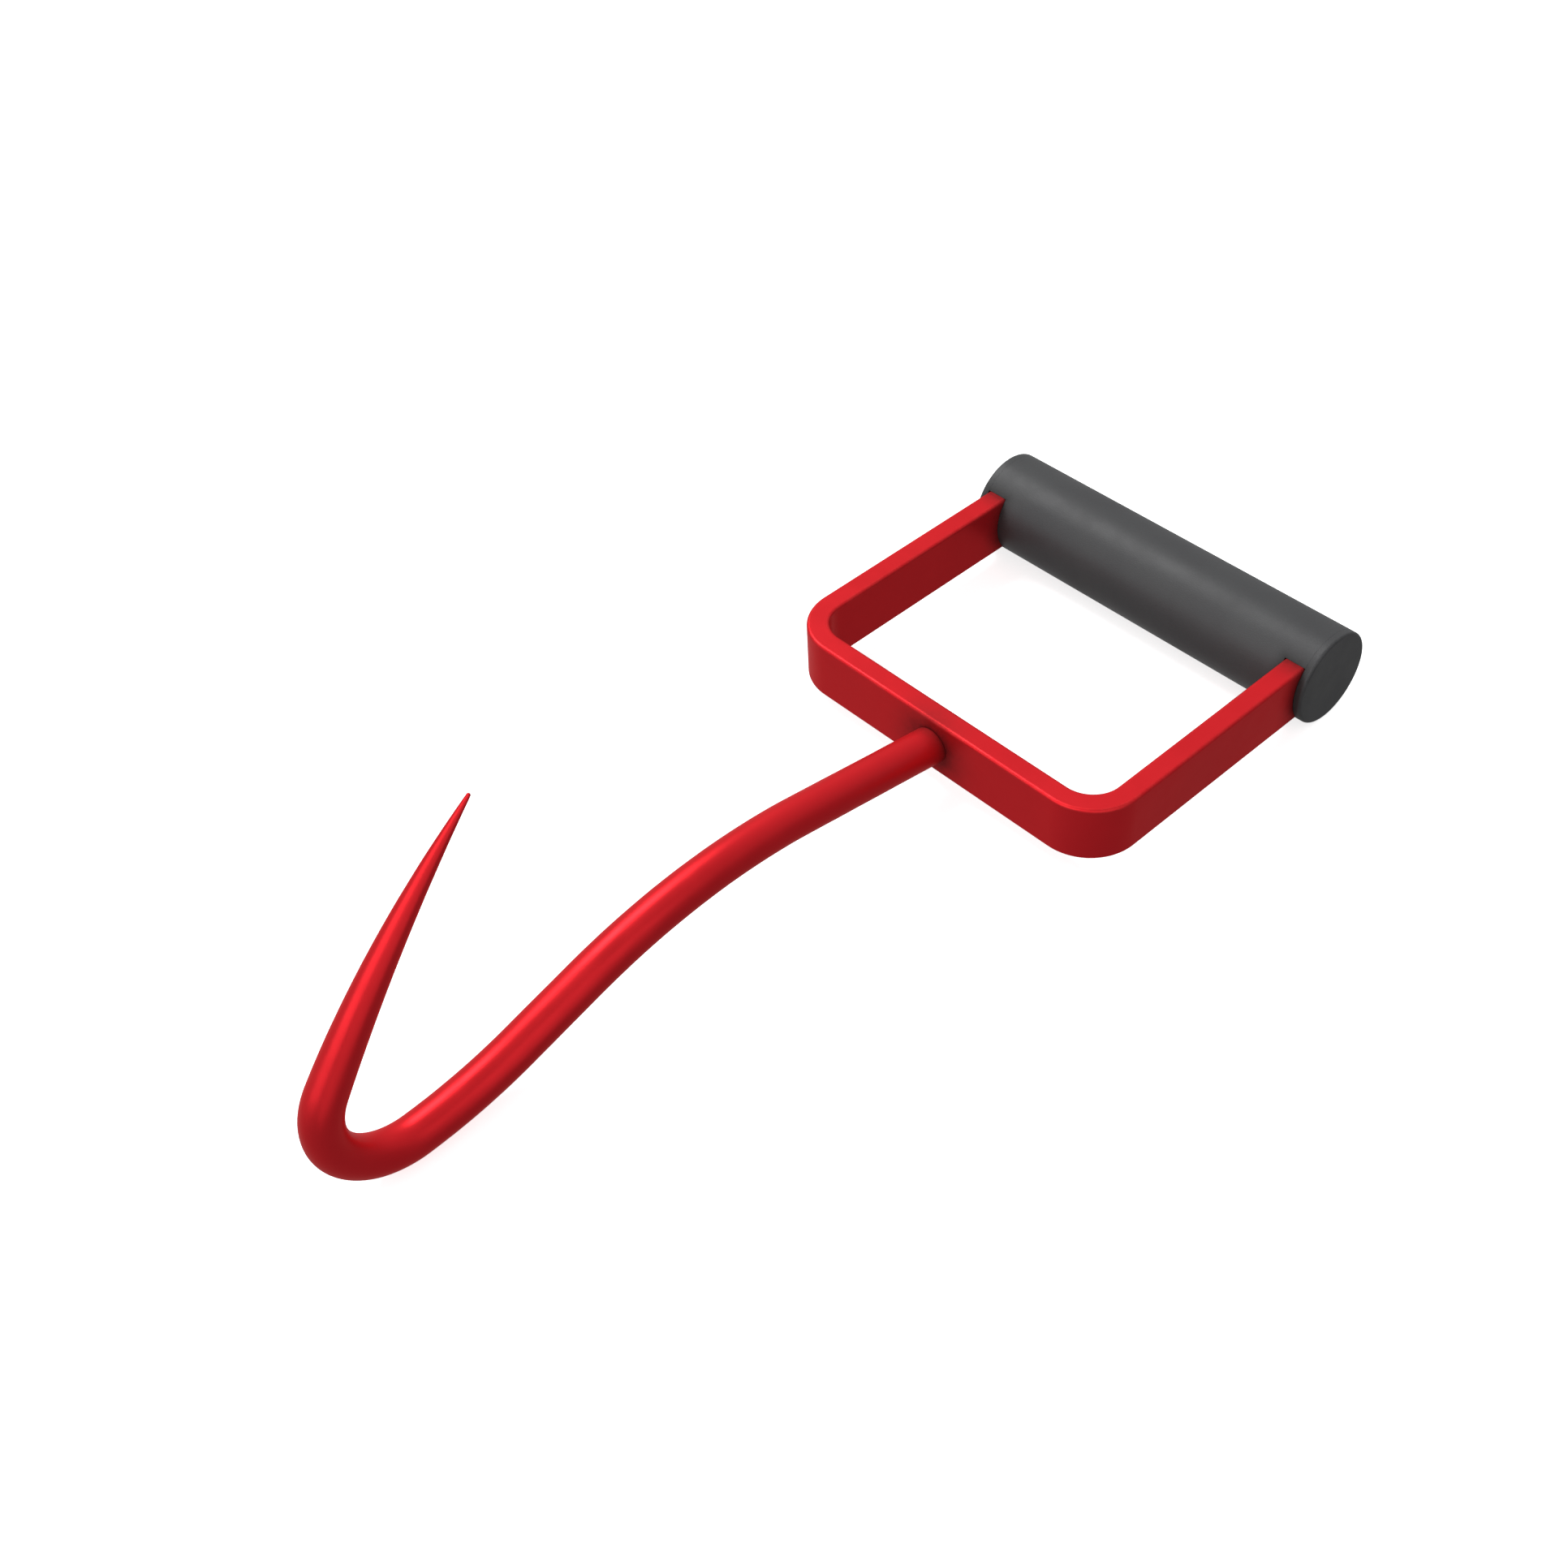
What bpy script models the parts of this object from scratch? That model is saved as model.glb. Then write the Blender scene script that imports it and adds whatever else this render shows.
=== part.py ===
"""Hay hook with a D-shaped handle: flat-bar frame, round forged hook and a moulded grip.

Frame: +Z is the normal of the handle frame's plane, +Y runs from the hook's bend to the grip and X runs along
the grip. The origin is under the middle of the whole tool, on the surface that it rests on.
All lengths are in metres.
"""

import math

import bmesh
import bpy
from mathutils import Vector

# Driving dimension: fits
GAP = 0.0003                    # play between two pieces that touch

# Driving dimensions: handle frame
BAR_HEIGHT = 0.0203             # flat bar, across the frame's plane
BAR_THICKNESS = 0.0074          # flat bar, in the frame's plane
BAR_EDGE_RADIUS = 0.0010        # eased long edges of the bar
FRAME_INNER_WIDTH = 0.1164      # clear width between the arms
CORNER_INNER_RADIUS = 0.0105    # inside radius of the two bends
GRIP_REACH = 0.1048             # crossbar's centreline to the grip's axis
ARM_PAST_AXIS = 0.0100          # how far the arms run past the grip's axis

# Driving dimensions: grip
GRIP_RADIUS = 0.0160
GRIP_CAP_THICKNESS = 0.0025
GRIP_EDGE_RADIUS = 0.0008       # rounded rim of each cap
CORE_RADIUS = 0.0060            # steel bar inside the sleeve
PEG_LENGTH = 0.0060             # the caps' pegs
PEG_HOLE_WALL = 0.0011          # plastic left on each side of a peg's hole

# Driving dimensions: core screws
SCREW_RADIUS = 0.0030
SCREW_HEAD_RADIUS = 0.0055
SCREW_REACH = 0.0120            # thread inside the core
SOCKET_RADIUS = 0.0023          # hexagon recess, centre to corner
SOCKET_DEPTH = 0.0020

# Driving dimensions: hook
ROD_RADIUS = 0.00615
TENON_RADIUS = 0.0040
RIVET_HEAD_RADIUS = 0.0055
RIVET_HEAD_HEIGHT = 0.0016
WASHER_RADIUS = 0.0070
WASHER_THICKNESS = 0.0012
POINT_RADIUS = 0.0006
TAPER_START = 0.113             # from the point, measured along the rod
TAPER_POWER = 1.75              # above 1, the taper is full near the bend and slim at the point

# The rod's centreline, from the crossbar to the point, as straight runs and arcs in the plane X = 0
SHANK_RISE = 9.4                # degrees above the frame's plane where it leaves the crossbar
SHANK_LENGTH = 0.0557
HUMP_RADIUS = 0.1763
HUMP_ANGLE = 26.6
SLOPE_LENGTH = 0.0246
SWEEP_RADIUS = 0.133
SWEEP_ANGLE = 15.5
BEND_RADIUS = 0.0234
BEND_ANGLE = 125.4
PRONG_RADIUS = 0.344
PRONG_ANGLE = 14.3

# Mesh fineness
ROUND_STEPS = 48                # sides of the grip
ROD_STEPS = 24                  # sides of the rod and of small round pieces
PEG_STEPS = 12                  # sides of a peg
SOCKET_SIDES = 6                # a hexagon
DOME_STEPS = 4                  # rings of the rivet's head and of the point
SMOOTH_ANGLE = math.radians(30)  # edges that turn more than this stay sharp
ARC_STEP = math.radians(7.0)    # largest turn between two rings of a bend
RIM_STEP = math.radians(22.5)   # the same on the caps' small rims
EASE_STEPS = 2                  # faces across each eased edge of the bar
RUN_STEP = 0.010                # longest stretch between two rings of the rod

# The two ends of the grip: name, and turn about Z that brings a piece made at +X to its side
SIDES = (("left", math.pi), ("right", 0.0))

# Derived sizes
HALF_BAR = BAR_THICKNESS / 2
ARM_INNER = FRAME_INNER_WIDTH / 2
ARM_CENTRE = ARM_INNER + HALF_BAR
ARM_OUTER = ARM_INNER + BAR_THICKNESS
CORNER_RADIUS = CORNER_INNER_RADIUS + HALF_BAR
GRIP_HALF_LENGTH = ARM_OUTER + GAP + GRIP_CAP_THICKNESS
NOTCH_HALF_HEIGHT = BAR_HEIGHT / 2 + GAP
NOTCH_DEPTH = ARM_PAST_AXIS + GAP
SLEEVE_WALL = GRIP_RADIUS - max(NOTCH_HALF_HEIGHT, NOTCH_DEPTH)
PEG_RADIUS = SLEEVE_WALL / 2 - PEG_HOLE_WALL - GAP


def add_object(name, mesh, material):
    """Links a mesh to the scene as a named object, shaded smooth across shallow edges."""
    mesh.shade_smooth()
    mesh.set_sharp_from_angle(angle=SMOOTH_ANGLE)
    part = bpy.data.objects.new(name, mesh)
    part.data.materials.append(material)
    bpy.context.scene.collection.objects.link(part)
    return part


def make_material(name, color, roughness, metallic):
    """Makes a plain Principled material."""
    material = bpy.data.materials.new(name)
    material.use_nodes = True
    shader = material.node_tree.nodes["Principled BSDF"]
    shader.inputs["Base Color"].default_value = (*color, 1.0)
    shader.inputs["Roughness"].default_value = roughness
    shader.inputs["Metallic"].default_value = metallic
    material.diffuse_color = (*color, 1.0)
    return material


def skin(name, rings, hollow=False):
    """Skins equal-length rings of points; the ends are filled, or joined to each other if hollow."""
    shell = bmesh.new()
    loops = [[shell.verts.new(point) for point in ring] for ring in rings]
    following = loops[1:] + loops[:1] if hollow else loops[1:]
    for low, high in zip(loops, following):
        for index in range(len(low)):
            after = (index + 1) % len(low)
            shell.faces.new((low[index], low[after], high[after], high[index]))
    if not hollow:
        shell.faces.new(loops[0])
        shell.faces.new(loops[-1])
    bmesh.ops.recalc_face_normals(shell, faces=shell.faces)
    mesh = bpy.data.meshes.new(name)
    shell.to_mesh(mesh)
    shell.free()
    return mesh


def turned(name, profile, steps, hollow=False):
    """Turns a profile of (distance along X, radius) points about the X axis; a hollow one is a tube."""
    rings = []
    for along, radius in profile:
        turns = (2 * math.pi * step / steps for step in range(steps))
        rings.append([(along, radius * math.cos(turn), radius * math.sin(turn)) for turn in turns])
    return skin(name, rings, hollow)


def tube_profile(half_length, bore_radius, outer_radius):
    """The four corners of a plain tube's wall."""
    return ((-half_length, outer_radius), (half_length, outer_radius),
            (half_length, bore_radius), (-half_length, bore_radius))


def box_mesh(name, low, high):
    """A box between two corners."""
    ring = ((low[0], low[1]), (high[0], low[1]), (high[0], high[1]), (low[0], high[1]))
    return skin(name, [[(x, y, level) for x, y in ring] for level in (low[2], high[2])])


def combine(part, tool_mesh, operation, location=(0.0, 0.0, 0.0), rotation=(0.0, 0.0, 0.0)):
    """Cuts or joins a tool shape with a Boolean modifier; the tool is hidden from renders."""
    tool = bpy.data.objects.new(tool_mesh.name, tool_mesh)
    tool.location = location
    tool.rotation_euler = rotation
    tool.hide_render = True
    tool.display_type = "WIRE"
    bpy.context.scene.collection.objects.link(tool)
    tool.parent = part.parent
    modifier = part.modifiers.new(tool_mesh.name, "BOOLEAN")
    modifier.operation = operation
    modifier.solver = "EXACT"
    modifier.object = tool


def arc_points(centre, radius, start, end, largest_step=ARC_STEP):
    """Points along an arc in a plane, from one angle to the other, both in radians."""
    steps = max(2, math.ceil(abs(end - start) / largest_step))
    for step in range(steps + 1):
        angle = start + (end - start) * step / steps
        yield (centre[0] + radius * math.cos(angle), centre[1] + radius * math.sin(angle))


def frame_centreline():
    """The bar's centreline in X and Y, from the left arm's end round to the right arm's end."""
    arm_end = GRIP_REACH + ARM_PAST_AXIS
    corner_x = ARM_CENTRE - CORNER_RADIUS
    points = [(-ARM_CENTRE, arm_end)]
    points += arc_points((-corner_x, CORNER_RADIUS), CORNER_RADIUS, math.pi, 1.5 * math.pi)
    points += arc_points((corner_x, CORNER_RADIUS), CORNER_RADIUS, 1.5 * math.pi, 2 * math.pi)
    points.append((ARM_CENTRE, arm_end))
    return points


def bar_section():
    """The bar's cross-section as (across, up) points, with eased corners."""
    reach = HALF_BAR - BAR_EDGE_RADIUS
    rise = BAR_HEIGHT / 2 - BAR_EDGE_RADIUS
    section = []
    for quarter, (side, top) in enumerate(((1, 1), (-1, 1), (-1, -1), (1, -1))):
        start = quarter * math.pi / 2
        for step in range(EASE_STEPS + 1):
            angle = start + step * math.pi / 2 / EASE_STEPS
            section.append((side * reach + BAR_EDGE_RADIUS * math.cos(angle),
                            top * rise + BAR_EDGE_RADIUS * math.sin(angle)))
    return section


def screw_profile(play):
    """A countersunk screw about X, head outwards at +X, grown by a play for the hole it sits in."""
    flush = ARM_OUTER + play
    head = SCREW_HEAD_RADIUS + 2 * play
    shank = SCREW_RADIUS + play
    return ((flush, head), (flush - (head - shank), shank), (ARM_INNER - SCREW_REACH - play, shank))


def make_handle_frame(material, parent):
    """Flat bar bent to a U, with the rivet hole and the two countersunk screw holes."""
    line = [Vector(point) for point in frame_centreline()]
    rings = []
    for index, point in enumerate(line):
        before = line[max(index - 1, 0)]
        after = line[min(index + 1, len(line) - 1)]
        along = (after - before).normalized()
        if index in (0, len(line) - 1):
            along = Vector((0.0, -1.0 if index == 0 else 1.0))
        across = Vector((along.y, -along.x))
        rings.append([(point.x + across.x * side, point.y + across.y * side, up)
                      for side, up in bar_section()])
    frame = add_object("handle_frame", skin("handle_frame", rings), material)
    frame.parent = parent
    rivet_hole = turned("rivet_hole", ((-BAR_THICKNESS, TENON_RADIUS + GAP),
                                       (BAR_THICKNESS, TENON_RADIUS + GAP)), ROD_STEPS)
    combine(frame, rivet_hole, "DIFFERENCE", rotation=(0.0, 0.0, math.pi / 2))
    for side, turn in SIDES:
        hole = turned("screw_hole_" + side, screw_profile(GAP), ROD_STEPS)
        combine(frame, hole, "DIFFERENCE", (0.0, GRIP_REACH, 0.0), (0.0, 0.0, turn))
    return frame


def hook_centreline():
    """Stations along the rod as (y, z, heading); heading is the angle above -Y, in radians."""
    legs = ((SHANK_LENGTH, 0.0), (HUMP_RADIUS, -HUMP_ANGLE), (SLOPE_LENGTH, 0.0),
            (SWEEP_RADIUS, SWEEP_ANGLE), (BEND_RADIUS, BEND_ANGLE), (PRONG_RADIUS, PRONG_ANGLE))
    y, z, heading = -HALF_BAR - GAP, 0.0, math.radians(SHANK_RISE)
    stations = [(y, z, heading)]
    for size, angle in legs:
        turn = math.radians(angle)
        length = size * abs(turn) if turn else size
        steps = max(1, math.ceil(abs(turn) / ARC_STEP), math.ceil(length / RUN_STEP))
        swing = turn / steps
        chord = length / steps
        if turn:
            chord = 2 * size * math.sin(abs(swing) / 2)
        for _ in range(steps):
            middle = heading + swing / 2
            y -= chord * math.cos(middle)
            z += chord * math.sin(middle)
            heading += swing
            stations.append((y, z, heading))
    return stations


def rod_radius(from_point):
    """The rod's radius at a distance from its point."""
    if from_point >= TAPER_START:
        return ROD_RADIUS
    share = 1.0 - from_point / TAPER_START
    return POINT_RADIUS + (ROD_RADIUS - POINT_RADIUS) * (1.0 - share ** TAPER_POWER)


def hook_stations():
    """The rod's stations with their radii, as (y, z, heading, radius)."""
    line = hook_centreline()
    distances = [0.0]
    for (y0, z0, _), (y1, z1, _) in zip(line[::-1], line[-2::-1]):
        distances.append(distances[-1] + math.hypot(y1 - y0, z1 - z0))
    return [(y, z, heading, rod_radius(distance))
            for (y, z, heading), distance in zip(line, distances[::-1])]


def hook_ring(y, z, heading, radius):
    """A ring of points square to the rod's centreline."""
    ring = []
    for step in range(ROD_STEPS):
        turn = 2 * math.pi * step / ROD_STEPS
        rise = radius * math.sin(turn)
        ring.append((radius * math.cos(turn), y + rise * math.sin(heading), z + rise * math.cos(heading)))
    return ring


def make_hook(material, parent):
    """One forged rod: peened head, tenon, shoulder, shank, bend and tapered prong."""
    washer_face = HALF_BAR + GAP + WASHER_THICKNESS + GAP
    shoulder = -HALF_BAR - GAP
    rings = []
    for step in range(1, DOME_STEPS + 1):
        turn = math.pi / 2 * step / DOME_STEPS
        rings.append(hook_ring(washer_face + RIVET_HEAD_HEIGHT * math.cos(turn), 0.0, 0.0,
                               RIVET_HEAD_RADIUS * math.sin(turn)))
    rings.append(hook_ring(washer_face, 0.0, 0.0, TENON_RADIUS))
    rings.append(hook_ring(shoulder, 0.0, 0.0, TENON_RADIUS))
    rings.append(hook_ring(shoulder, 0.0, 0.0, ROD_RADIUS))
    stations = hook_stations()
    rings += [hook_ring(*station) for station in stations[1:]]
    y, z, heading, radius = stations[-1]
    for step in range(1, DOME_STEPS):
        turn = math.pi / 2 * step / DOME_STEPS
        ahead = radius * math.sin(turn)
        rings.append(hook_ring(y - ahead * math.cos(heading), z + ahead * math.sin(heading),
                               heading, radius * math.cos(turn)))
    hook = add_object("hook", skin("hook", rings), material)
    hook.parent = parent
    return hook


def make_rivet_washer(material, parent):
    """Round washer under the peened head, on the crossbar's inner face."""
    profile = tube_profile(WASHER_THICKNESS / 2, TENON_RADIUS + GAP, WASHER_RADIUS)
    washer = add_object("rivet_washer", turned("rivet_washer", profile, ROD_STEPS, hollow=True), material)
    washer.location = (0.0, HALF_BAR + GAP + WASHER_THICKNESS / 2, 0.0)
    washer.rotation_euler = (0.0, 0.0, math.pi / 2)
    washer.parent = parent
    return washer


def peg_places():
    """The pegs' places about the grip's axis, as (y, z): over, behind and under the arm's notch."""
    rise = (GRIP_RADIUS + NOTCH_HALF_HEIGHT) / 2
    back = (GRIP_RADIUS + NOTCH_DEPTH) / 2
    return ((0.0, rise), (back, 0.0), (0.0, -rise))


def make_grip_sleeve(material, parent):
    """Moulded sleeve with its bore, the two arm notches and the holes for the cap pegs."""
    profile = tube_profile(ARM_OUTER, CORE_RADIUS + GAP, GRIP_RADIUS)
    sleeve = add_object("grip_sleeve", turned("grip_sleeve", profile, ROUND_STEPS, hollow=True), material)
    sleeve.location = (0.0, GRIP_REACH, 0.0)
    sleeve.parent = parent
    for side, turn in SIDES:
        front, back = (-2 * GRIP_RADIUS, NOTCH_DEPTH) if turn == 0.0 else (-NOTCH_DEPTH, 2 * GRIP_RADIUS)
        notch = box_mesh("notch_" + side, (ARM_INNER - GAP, front, -NOTCH_HALF_HEIGHT),
                         (2 * ARM_OUTER, back, NOTCH_HALF_HEIGHT))
        combine(sleeve, notch, "DIFFERENCE", (0.0, GRIP_REACH, 0.0), (0.0, 0.0, turn))
        for count, (y, z) in enumerate(peg_places()):
            profile = ((2 * ARM_OUTER, PEG_RADIUS + GAP), (ARM_OUTER - PEG_LENGTH, PEG_RADIUS + GAP))
            hole = turned(f"peg_hole_{side}_{count}", profile, PEG_STEPS)
            combine(sleeve, hole, "DIFFERENCE", (0.0, GRIP_REACH + y, z), (0.0, 0.0, turn))
    return sleeve


def make_grip_cap(side, turn, material, parent):
    """Thin end disc with a rounded rim and three pegs."""
    inner = ARM_OUTER + GAP
    profile = [(inner, GRIP_RADIUS)]
    rim = (GRIP_RADIUS - GRIP_EDGE_RADIUS, GRIP_HALF_LENGTH - GRIP_EDGE_RADIUS)
    for radius, along in arc_points(rim, GRIP_EDGE_RADIUS, 0.0, math.pi / 2, RIM_STEP):
        profile.append((along, radius))
    cap = add_object("grip_cap_" + side, turned("grip_cap_" + side, profile, ROUND_STEPS), material)
    cap.location = (0.0, GRIP_REACH, 0.0)
    cap.rotation_euler = (0.0, 0.0, turn)
    cap.parent = parent
    for count, (y, z) in enumerate(peg_places()):
        peg = turned(f"peg_{side}_{count}", ((inner + GRIP_CAP_THICKNESS / 2, PEG_RADIUS),
                                             (inner - PEG_LENGTH, PEG_RADIUS)), PEG_STEPS)
        combine(cap, peg, "UNION", (0.0, GRIP_REACH + y, z), (0.0, 0.0, turn))
    return cap


def make_grip_core(material, parent):
    """Steel bar between the arms, with a screw hole in each end."""
    half_length = ARM_INNER - GAP
    profile = ((-half_length, CORE_RADIUS), (half_length, CORE_RADIUS))
    core = add_object("grip_core", turned("grip_core", profile, ROD_STEPS), material)
    core.location = (0.0, GRIP_REACH, 0.0)
    core.parent = parent
    for side, turn in SIDES:
        hole = turned("core_hole_" + side, screw_profile(GAP), ROD_STEPS)
        combine(core, hole, "DIFFERENCE", (0.0, GRIP_REACH, 0.0), (0.0, 0.0, turn))
    return core


def make_core_screw(side, turn, material, parent):
    """Countersunk screw with a hexagon recess, flush with the arm's outer face."""
    mesh = turned("core_screw_" + side, screw_profile(0.0), ROD_STEPS)
    screw = add_object("core_screw_" + side, mesh, material)
    screw.location = (0.0, GRIP_REACH, 0.0)
    screw.rotation_euler = (0.0, 0.0, turn)
    screw.parent = parent
    socket = turned("socket_" + side, ((ARM_OUTER + SOCKET_DEPTH, SOCKET_RADIUS),
                                       (ARM_OUTER - SOCKET_DEPTH, SOCKET_RADIUS)), SOCKET_SIDES)
    combine(screw, socket, "DIFFERENCE", (0.0, GRIP_REACH, 0.0), (0.0, 0.0, turn))
    return screw


def tool_origin():
    """Where the crossbar's middle goes, so that the tool rests on Z = 0 and is centred in X and Y."""
    stations = hook_stations()
    bend_back = min(y - radius * abs(math.sin(heading)) for y, _, heading, radius in stations)
    bend_floor = min(z - radius * abs(math.cos(heading)) for _, z, heading, radius in stations)
    grip_back = GRIP_REACH + GRIP_RADIUS
    return (0.0, -(bend_back + grip_back) / 2, -min(bend_floor, -GRIP_RADIUS))


def main():
    """Builds the whole tool."""
    for old in list(bpy.data.objects):
        bpy.data.objects.remove(old)
    red_paint = make_material("red_paint", (0.62, 0.020, 0.026), 0.38, 0.0)
    grip_plastic = make_material("grip_plastic", (0.075, 0.076, 0.079), 0.55, 0.0)
    zinc_steel = make_material("zinc_steel", (0.56, 0.57, 0.58), 0.35, 1.0)

    tool = bpy.data.objects.new("tool", None)
    tool.location = tool_origin()
    bpy.context.scene.collection.objects.link(tool)

    make_handle_frame(red_paint, tool)
    make_hook(red_paint, tool)
    make_rivet_washer(red_paint, tool)
    make_grip_sleeve(grip_plastic, tool)
    make_grip_core(zinc_steel, tool)
    for side, turn in SIDES:
        make_grip_cap(side, turn, grip_plastic, tool)
        make_core_screw(side, turn, zinc_steel, tool)


main()
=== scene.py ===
"""Looks of the hay hook: an enamelled flat-bar handle, a forged hook and a moulded grip.

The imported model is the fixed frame. The pieces here stand on its boxes, in metres, with +Z up, and each one
stands for the node that it covers. Small hidden steel pieces keep their own shape and take a finish.
"""

import logging
import math
from dataclasses import dataclass, field
from enum import Enum
from typing import Callable, Iterator, Sequence

import bmesh
import bpy
from mathutils import Matrix, Vector, noise


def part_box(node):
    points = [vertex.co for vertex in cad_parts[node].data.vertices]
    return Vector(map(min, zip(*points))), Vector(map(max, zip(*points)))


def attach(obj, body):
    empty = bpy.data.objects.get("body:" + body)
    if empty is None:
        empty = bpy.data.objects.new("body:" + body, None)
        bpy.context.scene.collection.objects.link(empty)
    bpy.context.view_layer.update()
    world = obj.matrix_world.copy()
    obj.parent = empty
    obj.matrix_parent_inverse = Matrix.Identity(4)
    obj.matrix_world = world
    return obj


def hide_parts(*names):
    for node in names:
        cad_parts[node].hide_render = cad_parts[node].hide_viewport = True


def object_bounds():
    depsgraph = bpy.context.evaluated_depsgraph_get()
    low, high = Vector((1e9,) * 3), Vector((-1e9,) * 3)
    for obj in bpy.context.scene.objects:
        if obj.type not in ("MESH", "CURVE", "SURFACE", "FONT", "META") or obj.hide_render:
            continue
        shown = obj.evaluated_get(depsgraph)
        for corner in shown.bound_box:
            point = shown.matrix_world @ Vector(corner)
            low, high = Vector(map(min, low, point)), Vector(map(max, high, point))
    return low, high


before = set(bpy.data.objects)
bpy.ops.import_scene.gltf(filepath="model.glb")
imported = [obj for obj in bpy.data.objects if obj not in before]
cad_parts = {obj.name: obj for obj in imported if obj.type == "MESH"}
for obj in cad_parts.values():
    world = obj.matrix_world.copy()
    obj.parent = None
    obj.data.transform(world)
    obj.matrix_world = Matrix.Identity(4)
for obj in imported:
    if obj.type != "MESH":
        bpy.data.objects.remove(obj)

CAD_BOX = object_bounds()

MM = 0.001
GAP = 0.3 * MM
SHARP_ANGLE = math.radians(35)
HEAD_START = math.radians(7.5)
STREAK_STRETCH = (1.0, 9.0, 9.0)
EDGE_LAYER = "edge"
# The crease layer holds painted shade where pieces meet.
CREASE_LAYER = "crease"
ROOT_BODY = "root"

log = logging.getLogger("hay_hook")

Color = tuple[float, float, float]
Ring = list[Vector]


class Slot(Enum):
    """The record's material slots."""

    RED_PAINT = "red_paint"
    GRIP_PLASTIC = "grip_plastic"
    ZINC_STEEL = "zinc_steel"


class Side(Enum):
    """The two ends of the grip, with the sign of their X."""

    LEFT = -1
    RIGHT = 1


# Shader node groups -------------------------------------------------------------------------------


@dataclass(frozen=True)
class Socket:
    """One socket of a node group: its name, kind and, on an input, its default."""

    name: str
    kind: str
    default: float | tuple[float, ...] | None = None


class EffectGroup:
    """A shader node group, built once and placed in many materials."""

    def __init__(self, name: str, inputs: Sequence[Socket], outputs: Sequence[Socket]) -> None:
        """Makes the empty group with its sockets.

        Args:
            name: The group's name.
            inputs: Its input sockets.
            outputs: Its output sockets.
        """
        self.tree = bpy.data.node_groups.new(name, "ShaderNodeTree")
        for socket in inputs:
            made = self.tree.interface.new_socket(socket.name, in_out="INPUT", socket_type=socket.kind)
            if socket.default is not None:
                made.default_value = socket.default
        for socket in outputs:
            self.tree.interface.new_socket(socket.name, in_out="OUTPUT", socket_type=socket.kind)
        self.entry = self.tree.nodes.new("NodeGroupInput")
        self.result = self.tree.nodes.new("NodeGroupOutput")

    def node(self, kind: str, **settings: object) -> bpy.types.Node:
        """Adds a node and sets its properties.

        Args:
            kind: The node's type name.
            settings: Properties of the node.

        Returns:
            The new node.
        """
        made = self.tree.nodes.new(kind)
        for key, value in settings.items():
            setattr(made, key, value)
        return made

    def link(self, start: bpy.types.NodeSocket, end: bpy.types.NodeSocket) -> None:
        """Joins an output socket to an input socket."""
        self.tree.links.new(start, end)

    def given(self, name: str) -> bpy.types.NodeSocket:
        """Returns an input of the group, for use inside it."""
        return self.entry.outputs[name]

    def give(self, name: str, value: bpy.types.NodeSocket) -> None:
        """Feeds an output of the group."""
        self.link(value, self.result.inputs[name])

    def noise(self, coordinates: bpy.types.NodeSocket, scale: bpy.types.NodeSocket,
              detail: float, roughness: float) -> bpy.types.NodeSocket:
        """Adds a noise texture.

        Args:
            coordinates: Where the texture is read.
            scale: Its scale, from a socket.
            detail: Octaves.
            roughness: Weight of the finer octaves.

        Returns:
            The noise value, about 0 to 1.
        """
        texture = self.node("ShaderNodeTexNoise")
        texture.inputs["Detail"].default_value = detail
        texture.inputs["Roughness"].default_value = roughness
        self.link(coordinates, texture.inputs["Vector"])
        self.link(scale, texture.inputs["Scale"])
        return texture.outputs["Fac"]

    def math(self, operation: str, first: object, second: object) -> bpy.types.NodeSocket:
        """Adds a math node.

        Args:
            operation: The operation's name.
            first: A socket or a number.
            second: A socket or a number.

        Returns:
            The result.
        """
        made = self.node("ShaderNodeMath", operation=operation)
        for value, end in zip((first, second), made.inputs):
            if isinstance(value, bpy.types.NodeSocket):
                self.link(value, end)
            else:
                end.default_value = value
        return made.outputs["Value"]

    def spread(self, value: bpy.types.NodeSocket, low: float, high: float,
               start: float, end: float) -> bpy.types.NodeSocket:
        """Maps a value from one range to another, clamped.

        Args:
            value: The value.
            low: Lower end of its range.
            high: Upper end of its range.
            start: What the lower end becomes.
            end: What the upper end becomes.

        Returns:
            The mapped value.
        """
        made = self.node("ShaderNodeMapRange", interpolation_type="SMOOTHSTEP")
        for name, number in (("From Min", low), ("From Max", high), ("To Min", start), ("To Max", end)):
            made.inputs[name].default_value = number
        self.link(value, made.inputs["Value"])
        return made.outputs["Result"]

    def tint(self, factor: bpy.types.NodeSocket, first: bpy.types.NodeSocket,
             second: bpy.types.NodeSocket) -> bpy.types.NodeSocket:
        """Mixes two colours by a factor and returns the mixed colour."""
        made = self.node("ShaderNodeMix", data_type="RGBA")
        self.link(factor, made.inputs["Factor"])
        self.link(first, made.inputs["A"])
        self.link(second, made.inputs["B"])
        return made.outputs["Result"]


def make_surface_height() -> bpy.types.NodeTree:
    """Builds the height of a coat or a moulded skin: fine peel or grain over a slow ripple.

    Returns:
        The node group.
    """
    group = EffectGroup("surface_height",
                        (Socket("Grain Scale", "NodeSocketFloat", 900.0),
                         Socket("Grain", "NodeSocketFloat", 1.0),
                         Socket("Ripple Scale", "NodeSocketFloat", 120.0),
                         Socket("Ripple", "NodeSocketFloat", 1.0)),
                        (Socket("Height", "NodeSocketFloat"),))
    place = group.node("ShaderNodeTexCoord").outputs["Object"]
    grain = group.noise(place, group.given("Grain Scale"), detail=2.0, roughness=0.45)
    ripple = group.noise(place, group.given("Ripple Scale"), detail=1.0, roughness=0.4)
    fine = group.math("MULTIPLY", grain, group.given("Grain"))
    slow = group.math("MULTIPLY", ripple, group.given("Ripple"))
    group.give("Height", group.math("ADD", fine, slow))
    return group.tree


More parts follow.
